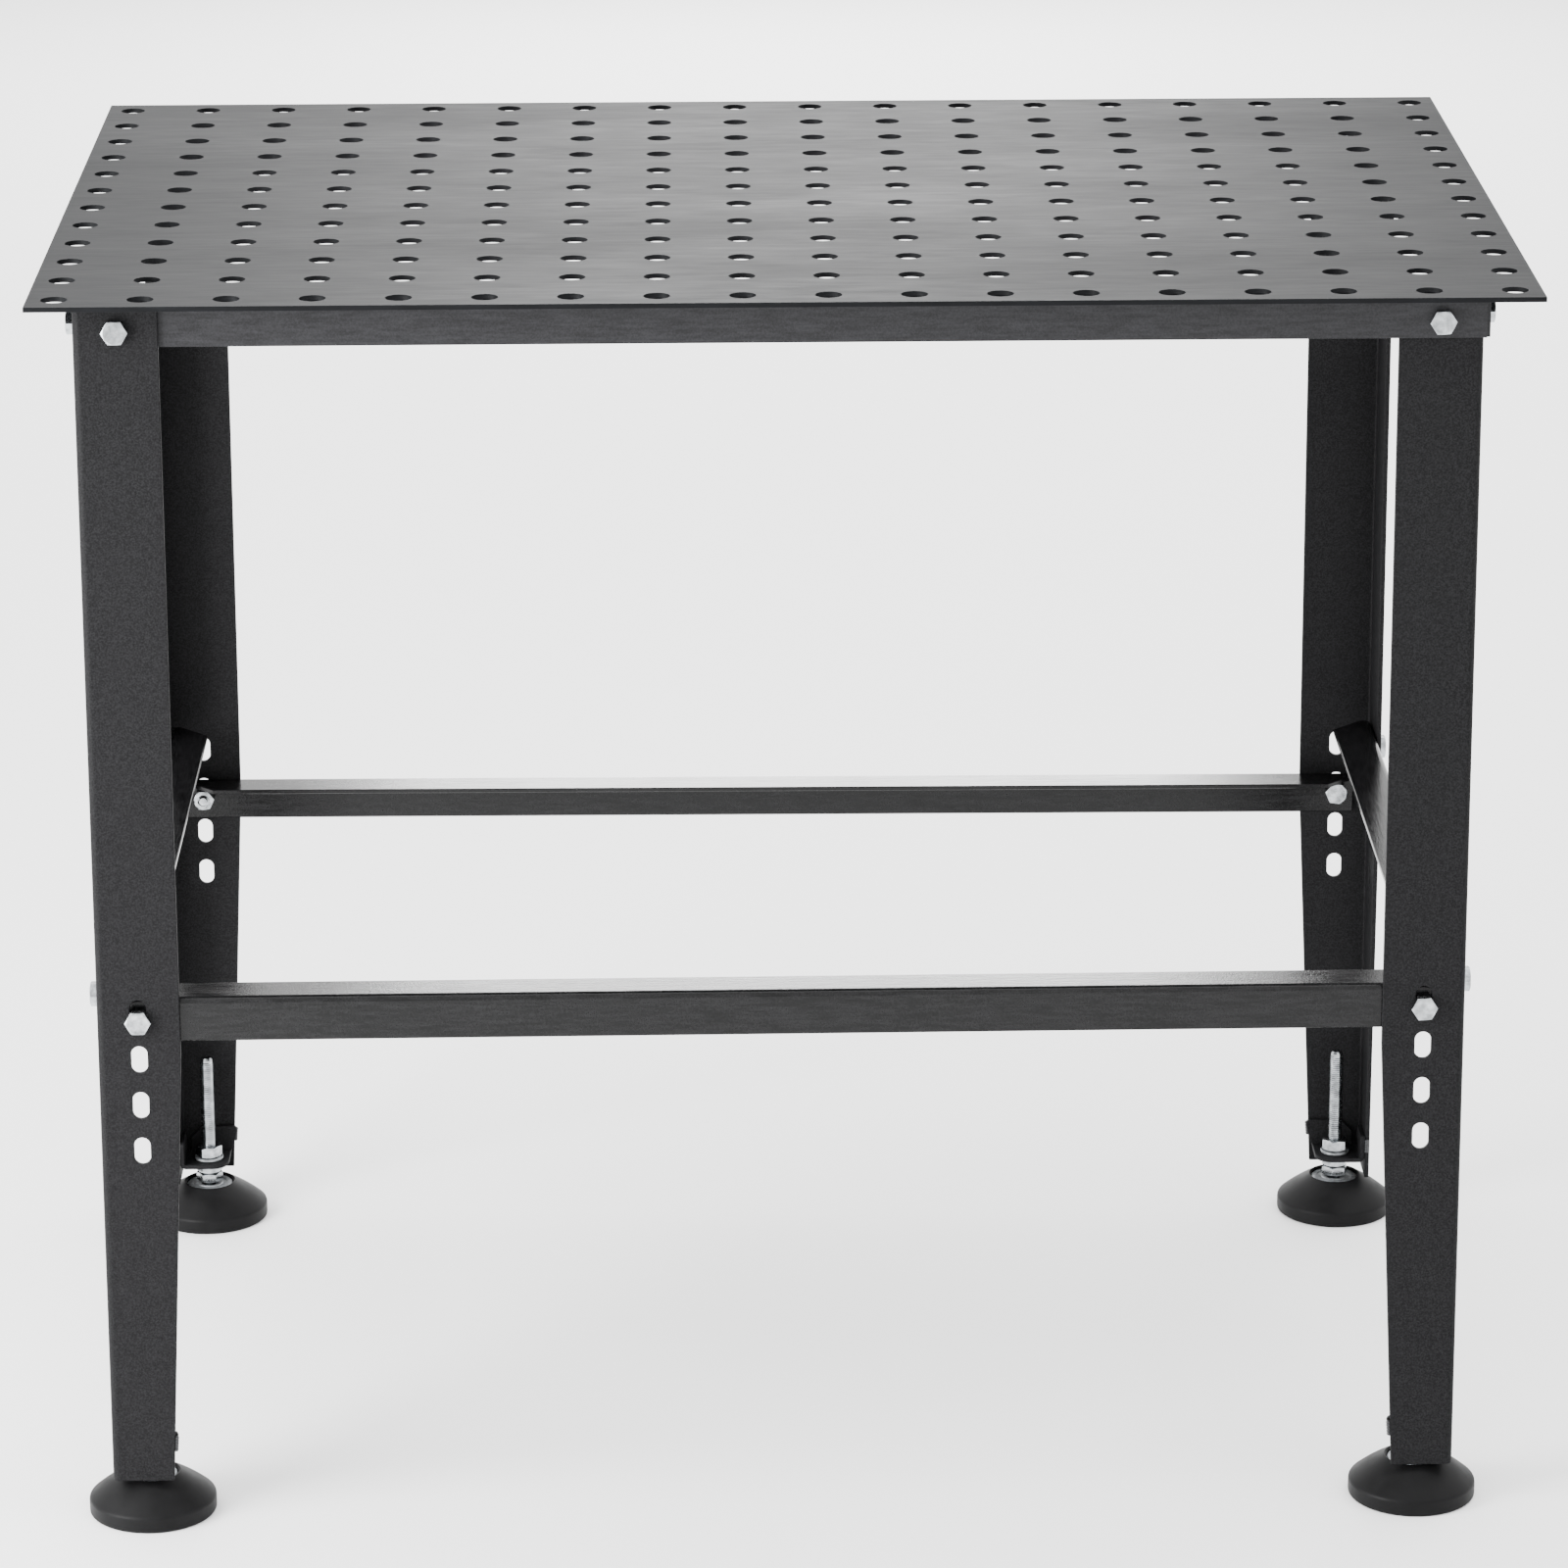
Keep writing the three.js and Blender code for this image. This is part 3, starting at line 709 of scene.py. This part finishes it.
class WELDTABLE_OT_top_plate(Operator):
    """Add the perforated top plate"""

    bl_idname = "weldtable.top_plate"
    bl_label = "Top plate"

    def execute(self, context):
        sizes = context.scene.welding_table_sizes
        pitch, columns, rows = sizes.hole_pitch, sizes.hole_columns, sizes.hole_rows
        # one square of sheet round its hole, which is then repeated in both directions
        bpy.ops.object.select_all(action="DESELECT")
        bpy.ops.mesh.primitive_plane_add(size=pitch)
        plate = named("top_plate_sheet")
        with editing(plate):
            bpy.ops.mesh.subdivide(number_cuts=1)
            pick("VERT", lambda v: v.length < MM)
            bpy.ops.mesh.delete(type="VERT")
            bpy.ops.mesh.primitive_circle_add(vertices=24, radius=sizes.hole_radius)
            bpy.ops.mesh.select_mode(type="EDGE")
            bpy.ops.mesh.select_all(action="SELECT")
            bpy.ops.mesh.bridge_edge_loops()
            bpy.ops.mesh.select_all(action="SELECT")
            move(-(columns - 1) / 2 * pitch, -(rows - 1) / 2 * pitch, PLATE_HIGH.z)
        for count, step in ((columns, (pitch, 0, 0)), (rows, (0, pitch, 0))):
            modify(plate, "ARRAY", count=count, use_relative_offset=False,
                   use_constant_offset=True, constant_offset_displace=step,
                   use_merge_vertices=True, merge_threshold=0.01 * MM)
        half_x, half_y = sizes.plate_length / 2, sizes.plate_depth / 2
        with editing(plate):
            for x, y, half in ((1, 0, half_x), (-1, 0, half_x), (0, 1, half_y), (0, -1, half_y)):
                bpy.ops.mesh.select_all(action="SELECT")
                bpy.ops.mesh.bisect(plane_co=(x * half, y * half, 0), plane_no=(x, y, 0),
                                    clear_outer=True)
        turn_out(plate, Vector((0, 0, 1)))
        modify(plate, "SOLIDIFY", thickness=sizes.sheet, offset=-1)
        plate.data.materials.append(finish("Semi-gloss enamel"))
        plate.data.materials.append(finish("Enamel on cut rims"))
        # the bevels of the cut rims take the second material, an enamel lightened as a painted
        # highlight
        modify(plate, "BEVEL", width=0.12 * MM, segments=1, limit_method="ANGLE",
               angle_limit=math.radians(50), use_clamp_overlap=False, material=1)
        smooth(plate)
        declare(plate, "plate_paint", "frame", "top_plate")
        return {"FINISHED"}


class WELDTABLE_OT_frame_rails(Operator):
    """Add the four mitred rails under the plate"""

    bl_idname = "weldtable.frame_rails"
    bl_label = "Frame rails"

    def execute(self, context):
        sizes = context.scene.welding_table_sizes
        half_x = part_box("right_rail")[1].x
        half_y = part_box("rear_rail")[1].y
        mitre_gap, blunt = 0.2 * MM, 2 * MM
        rails = (("front", half_x, (0, -half_y)), ("right", half_y, (half_x, 0)),
                 ("rear", half_x, (0, half_y)), ("left", half_y, (-half_x, 0)))
        for turns, (name, half, (x, y)) in enumerate(rails):
            rail = bent_sheet(name + "_rail_bar", (2 * half, sizes.angle_flange),
                              sizes.angle_bend, sizes.sheet)
            for side in (-1, 1):
                end = half - mitre_gap
                slice_off(rail, (side * end, 0, 0), (side, 1, 0))
                slice_off(rail, (side * (end - blunt), 0, 0), (side, 0, 0))
            turn = Matrix.Rotation(turns * math.pi / 2, 4, "Z")
            inset = Vector((sizes.bolt_line, sizes.bolt_line, 0))
            bolts = [turn.inverted() @ corner_place(c) @ inset for c in CORNERS if name in c]
            carve(rail, [round_tool(b.x, -RAIL_BOLT_DROP, BOLT_HOLE) for b in bolts])
            break_edges(rail, 0.4 * MM, angle=50)
            smooth(rail)
            placed_bar(rail, x, y, RAIL_TOP, turns * math.pi / 2)
            run = "long" if turns % 2 == 0 else "cross"
            settle(rail, finish(f"Satin paint, {run} bars"), "frame_paint", "frame",
                   name + "_rail")
        return {"FINISHED"}


class WELDTABLE_OT_legs(Operator):
    """Add the four slotted legs"""

    bl_idname = "weldtable.legs"
    bl_label = "Legs"

    def execute(self, context):
        sizes = context.scene.welding_table_sizes
        leg = first_point("leg", (0, 0, LEG_BOTTOM))
        with editing(leg):
            extrude(z=LEG_TOP - LEG_BOTTOM)
            bpy.ops.mesh.select_all(action="SELECT")
            extrude(x=sizes.leg_flange)
            pick("EDGE", lambda e: near(e.x, 0) and near(e.y, 0))
            extrude(y=sizes.leg_flange)
            bpy.ops.mesh.select_all(action="SELECT")
            bpy.ops.mesh.bisect(plane_co=(0, 0, sizes.leg_taper), plane_no=(0, 0, 1))
            taper = sizes.leg_foot_flange - sizes.leg_flange
            pick("VERT", lambda v: near(v.z, LEG_BOTTOM) and v.x > MM)
            move(x=taper)
            pick("VERT", lambda v: near(v.z, LEG_BOTTOM) and v.y > MM)
            move(y=taper)
        turn_out(leg, Vector((0, -1, 0)))
        fold(leg, sizes.leg_bend, sizes.sheet)
        tools = []
        for index in range(sizes.slot_count):
            z = sizes.slot_top - index * sizes.slot_pitch
            tools.append(round_tool(sizes.bolt_line, z, sizes.slot_width / 2,
                                    sizes.slot_length))
        tools.append(round_tool(sizes.bolt_line, RAIL_TOP - RAIL_BOLT_DROP, BOLT_HOLE))
        flip = Matrix.Rotation(math.pi / 2, 4, "Z")
        tools += [copied(tool, "tool", flip) for tool in list(tools)]
        carve(leg, tools)
        break_edges(leg, 0.35 * MM, angle=50)
        smooth(leg)
        for corner in CORNERS:
            piece = copied(leg, f"leg_{corner}_section", corner_place(corner))
            settle(piece, finish("Fine-textured powder coat"), "leg_powder_coat", "frame",
                   "leg_" + corner)
        bpy.data.objects.remove(leg)
        return {"FINISHED"}


class WELDTABLE_OT_stretchers(Operator):
    """Add the four stretchers that brace the legs"""

    bl_idname = "weldtable.stretchers"
    bl_label = "Stretchers"

    def execute(self, context):
        sizes = context.scene.welding_table_sizes
        left, right = corner_place("rear_left"), corner_place("rear_right")
        left_bolt = left.translation.x + sizes.bolt_line
        right_bolt = right.translation.x - sizes.bolt_line
        # the long bars lie against the legs, and the right legs stand further in
        left_contact = left.translation.y - sizes.sheet - 0.4 * MM
        right_contact = right.translation.y - sizes.sheet - 0.55 * MM
        span = right_bolt - left_bolt
        middle = (left_bolt + right_bolt) / 2
        contact = (left_contact + right_contact) / 2
        skew = math.atan((left_contact - right_contact) / span)
        left_span = 2 * (left.translation.y - sizes.bolt_line)
        right_span = 2 * (right.translation.y - sizes.bolt_line)
        inner = sizes.sheet + GAP
        long_drop, cross_drop = 13.6 * MM, 15.2 * MM       # from a bar's top to its bolts
        past_bolts, snipe_start = 23 * MM, 20 * MM
        for name, reach, drop, x, y, angle, run in (
                ("front", span, long_drop, middle, -contact, skew, "long"),
                ("rear", span, long_drop, middle, contact, math.pi - skew, "long"),
                ("left", left_span, cross_drop, left.translation.x + inner, 0,
                 -math.pi / 2, "cross"),
                ("right", right_span, cross_drop, right.translation.x - inner, 0,
                 math.pi / 2, "cross")):
            total = reach + past_bolts
            bar = bent_sheet(name + "_stretcher_bar", (total, sizes.angle_flange),
                             sizes.angle_bend, sizes.sheet)
            for side in (-1, 1):
                snipe = Vector((side * total / 2, sizes.angle_flange - snipe_start, 0))
                slice_off(bar, snipe, (side, 1, 0))
            carve(bar, [round_tool(side * reach / 2, -drop, BOLT_HOLE) for side in (-1, 1)])
            break_edges(bar, 0.4 * MM, angle=40)
            smooth(bar)
            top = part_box(name + "_stretcher")[1].z
            placed_bar(bar, x, y, top, angle)
            settle(bar, finish(f"Semi-gloss paint, {run} bars"), "frame_paint", "frame",
                   name + "_stretcher")
        return {"FINISHED"}


class WELDTABLE_OT_foot_brackets(Operator):
    """Add the bent brackets welded into the legs' feet"""

    bl_idname = "weldtable.foot_brackets"
    bl_label = "Foot brackets"

    def execute(self, context):
        sizes = context.scene.welding_table_sizes
        inner, reach, notch = sizes.sheet + GAP, 37 * MM, 9 * MM
        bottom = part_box("foot_bracket_front_left")[0].z
        top, ear_spread, stud_hole = 60 * MM, 5.4 * MM, 5.6 * MM
        bracket = first_point("bracket", (inner, notch, bottom))
        with editing(bracket):
            extrude(y=reach - notch)
            bpy.ops.mesh.select_all(action="SELECT")
            extrude(x=notch - inner)
            extrude(x=reach - notch)
            pick("EDGE", lambda e: near(e.y, notch) and e.x > notch)
            extrude(y=inner - notch)
            pick("EDGE", lambda e: near(e.y, inner))
            extrude(z=top - bottom)
            pick("EDGE", lambda e: near(e.x, inner) and near(e.z, bottom))
            extrude(z=top - bottom)
            pick("VERT", lambda v: near(v.z, top) and near(v.x, reach))
            move(x=ear_spread)
            pick("VERT", lambda v: near(v.z, top) and near(v.y, reach))
            move(y=ear_spread)
            pick("VERT", lambda v: near(v.z, top) and (v.x > reach or v.y > reach))
            bpy.ops.mesh.bevel(offset=4 * MM, segments=5, affect="VERTICES")
            pick("VERT", lambda v: near(v.z, top) and (near(v.x, notch) or near(v.y, notch)))
            bpy.ops.mesh.bevel(offset=8 * MM, segments=1, affect="VERTICES")
            pick("VERT", lambda v: near(v.x, reach) and near(v.y, reach))
            bpy.ops.mesh.bevel(offset=12 * MM, segments=8, affect="VERTICES")
        turn_out(bracket, Vector((0, 0, -1)))
        fold(bracket, 4 * MM, sizes.sheet)
        hole = round_tool(0, 0, stud_hole)
        upright = Matrix.Rotation(math.pi / 2, 4, "X")
        place_in_mesh(hole, Matrix.Translation((FOOT_INSET, FOOT_INSET, bottom)) @ upright)
        carve(bracket, [hole])
        break_edges(bracket, 0.3 * MM, angle=50)
        smooth(bracket)
        for corner in CORNERS:
            piece = copied(bracket, f"foot_bracket_{corner}_plate", corner_place(corner))
            settle(piece, finish("Fine-textured powder coat"), "leg_powder_coat", "frame",
                   "foot_bracket_" + corner)
        bpy.data.objects.remove(bracket)
        return {"FINISHED"}


class WELDTABLE_OT_levelling_feet(Operator):
    """Add the studs, pads, socket rings, nuts and washers of the feet"""

    bl_idname = "weldtable.levelling_feet"
    bl_label = "Levelling feet"

    def execute(self, context):
        radius = context.scene.welding_table_sizes.pad_radius
        parts = (
            (foot_stud(), "foot_stud", "stud", "zinc_plate", "Bright zinc plating"),
            (foot_pad(radius), "foot_pad", "pad", "pad_rubber", "Moulded black rubber"),
            (socket_ring(), "foot_socket_ring", "pad", "zinc_plate", "Dull zinc, stamped rings"),
            (foot_nut(33.3, 39), "foot_adjusting_nut", "adjusting_nut", "zinc_plate",
             "Bright zinc plating"),
            (foot_nut(44.7, 52.7), "foot_lock_nut", "lock_nut", "zinc_plate",
             "Bright zinc plating"),
            (foot_washer(), "foot_washer", None, "zinc_plate", "Dull zinc, stamped rings"),
        )
        foot = Matrix.Translation((FOOT_INSET, FOOT_INSET, 0))
        for part, stem, body, slot, material in parts:
            for index, corner in enumerate(CORNERS):
                # each foot has been turned to another angle
                turn = Matrix.Rotation(math.radians(11 + 17 * index), 4, "Z")
                piece = copied(part, f"{stem}_{corner}_turned",
                               corner_place(corner) @ foot @ turn)
                settle(piece, finish(material), slot,
                       f"{body}_{corner}" if body else "frame", f"{stem}_{corner}")
            bpy.data.objects.remove(part)
        return {"FINISHED"}


class WELDTABLE_OT_fasteners(Operator):
    """Add the bolts and nuts of the rails and stretchers"""

    bl_idname = "weldtable.fasteners"
    bl_label = "Bolts and nuts"

    def execute(self, context):
        sizes = context.scene.welding_table_sizes
        sheet = sizes.sheet / MM
        # a bolt clamps two sheets and the gaps round them, in millimetres
        for stem, clamped in (("rail_bolt", 2 * sheet + 0.9),
                              ("stretcher_bolt", 2 * sheet + 1.2)):
            bolt = bolt_with_nut(clamped)
            for turns, corner in enumerate(CORNERS):
                for flange in (0, 1):
                    run = "long" if (turns + flange) % 2 == 0 else "short"
                    name = f"{stem}_{corner}_{run}"
                    low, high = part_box(name)
                    z = (low.z + high.z) / 2
                    outward = -GAP
                    # the right legs stand inside the rails, so the heads bear on the rails
                    if stem == "rail_bolt" and "right" in corner:
                        outward = -(sizes.sheet + 2 * GAP)
                    along = Matrix.Translation((sizes.bolt_line, 0, z))
                    if flange:
                        along = Matrix.Translation((0, sizes.bolt_line, z)) @ \
                            Matrix.Rotation(-math.pi / 2, 4, "Z")
                    held = Matrix.Translation((0, outward, 0))
                    # one bolt was put in from the inside
                    if name == "stretcher_bolt_rear_right_long":
                        held = Matrix.Translation((0, clamped * MM - GAP, 0)) @ \
                            Matrix.Rotation(math.pi, 4, "Z")
                    # each head has stopped at another angle
                    twist = Matrix.Rotation(math.radians(30 + 4 * turns - 7 * flange), 4, "Y")
                    piece = copied(bolt, name + "_fastener",
                                   corner_place(corner) @ along @ held @ twist)
                    settle(piece, finish("Bright zinc plating"), "zinc_plate", "frame", name)
            bpy.data.objects.remove(bolt)
        return {"FINISHED"}


class WELDTABLE_OT_welds(Operator):
    """Add the weld beads under the plate and on the foot brackets"""

    bl_idname = "weldtable.welds"
    bl_label = "Welds"

    def execute(self, context):
        rail_bead, bracket_bead = 1.2 * MM, 1.5 * MM       # radius of a ripple
        low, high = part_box("plate_weld")
        half_x, half_y = high.x - rail_bead, high.y - rail_bead
        z = (low.z + high.z) / 2
        # stitches 132 mm apart, of 16 ripples each, six along a long rail and four along a short
        points = []
        for middle in range(-330, 331, 132):
            for step in range(16):
                x = (middle - 15 + 2 * step) * MM
                points += [(x, half_y, z), (x, -half_y, z)]
        for middle in range(-198, 199, 132):
            for step in range(16):
                y = (middle - 15 + 2 * step) * MM
                points += [(half_x, y, z), (-half_x, y, z)]
        stitches = bead("rail_stitch_welds", points, rail_bead)
        settle(stitches, finish("Painted weld bead"), "weld", "frame", "plate_weld")
        # five ripples up the edge of each ear of a bracket
        for corner in CORNERS:
            spots = []
            for step in range(5):
                out, height = (40.1 + 0.15 * step) * MM, (49 + 1.9 * step) * MM
                spots += [(out, 2.1 * MM, height), (2.1 * MM, out, height)]
            place = corner_place(corner)
            weld = bead(f"foot_bracket_{corner}_weld",
                        [place @ Vector(spot) for spot in spots], bracket_bead)
            settle(weld, finish("Painted weld bead"), "weld", "frame")
        return {"FINISHED"}


class WELDTABLE_OT_stage(Operator):
    """Add the floor, the soft lights and the camera"""

    bl_idname = "weldtable.stage"
    bl_label = "Studio"

    def execute(self, context):
        bpy.ops.object.select_all(action="DESELECT")
        bpy.ops.mesh.primitive_plane_add(size=60)
        floor = named("studio_floor")
        floor.data.materials.append(finish("Matte studio floor"))
        world = bpy.data.worlds.new("Pale studio")
        context.scene.world = world
        world.use_nodes = True
        background = world.node_tree.nodes["Background"]
        background.inputs["Color"].default_value = (1, 1, 1, 1)
        background.inputs["Strength"].default_value = 2.6
        for name, size, energy, place, aim in (
                ("overhead softbox", (4, 4), 120, (0, 0.5, 3.6), (0, 0, 0.5)),
                ("rear softbox", (1.2, 1.6), 95, (0.1, 5, 1.5), (0, 0, 0.7)),
                ("left softbox", (0.9, 1.5), 85, (-1.5, -0.95, 0.75), (-0.4, 0, 0.45))):
            bpy.ops.object.light_add(type="AREA", location=place)
            light = context.object
            light.name = light.data.name = name
            light.data.shape = "RECTANGLE"
            light.data.size, light.data.size_y = size
            light.data.energy = energy
            light.visible_camera = False
            towards = Vector(aim) - Vector(place)
            light.rotation_euler = towards.to_track_quat("-Z", "Y").to_euler()
        bpy.ops.object.camera_add(location=(-0.0562, -3.8898, 1.6338))
        camera = context.object
        camera.data.sensor_width = 36
        camera.data.lens = 143.3
        camera.data.shift_y = -0.094
        pan, tilt, roll = (math.radians(angle) for angle in (-0.865, -16.29, 0.2))
        turn = Matrix.Rotation(pan, 3, "Z") @ Matrix.Rotation(tilt, 3, "X") @ \
            Matrix.Rotation(roll, 3, "Y")
        right, ahead, up = turn.col[0], turn.col[1], turn.col[2]
        camera.rotation_euler = Matrix((right, up, -ahead)).transposed().to_euler()
        context.scene.camera = camera
        return {"FINISHED"}


class WELDTABLE_PT_panel(Panel):
    """Sizes, finishes and building steps of the welding table"""

    bl_idname = "WELDTABLE_PT_panel"
    bl_label = "Welding Table"
    bl_space_type = "VIEW_3D"
    bl_region_type = "UI"
    bl_category = "Welding Table"

    def draw(self, context):
        layout = self.layout
        for settings, kind in ((context.scene.welding_table_sizes, TableSizes),
                               (context.scene.welding_table_finishes, TableFinishes)):
            column = layout.column(align=True)
            for setting in kind.__annotations__:
                column.prop(settings, setting)
        column = layout.column(align=True)
        for step in STEPS:
            column.operator(step.bl_idname)


STEPS = (WELDTABLE_OT_top_plate, WELDTABLE_OT_frame_rails, WELDTABLE_OT_legs,
         WELDTABLE_OT_stretchers, WELDTABLE_OT_foot_brackets, WELDTABLE_OT_levelling_feet,
         WELDTABLE_OT_fasteners, WELDTABLE_OT_welds, WELDTABLE_OT_stage)
CLASSES = (TableSizes, TableFinishes, WELDTABLE_PT_panel) + STEPS


def register():
    """Registers the classes and the scene's settings."""
    for made in CLASSES:
        bpy.utils.register_class(made)
    bpy.types.Scene.welding_table_sizes = PointerProperty(type=TableSizes)
    bpy.types.Scene.welding_table_finishes = PointerProperty(type=TableFinishes)


def unregister():
    """Removes the scene's settings and the classes."""
    del bpy.types.Scene.welding_table_sizes
    del bpy.types.Scene.welding_table_finishes
    for made in reversed(CLASSES):
        bpy.utils.unregister_class(made)


def main():
    """Builds the table and the studio."""
    register()
    bpy.ops.weldtable.top_plate()
    bpy.ops.weldtable.frame_rails()
    bpy.ops.weldtable.legs()
    bpy.ops.weldtable.stretchers()
    bpy.ops.weldtable.foot_brackets()
    bpy.ops.weldtable.levelling_feet()
    bpy.ops.weldtable.fasteners()
    bpy.ops.weldtable.welds()
    bpy.ops.weldtable.stage()


if __name__ == "__main__":
    main()
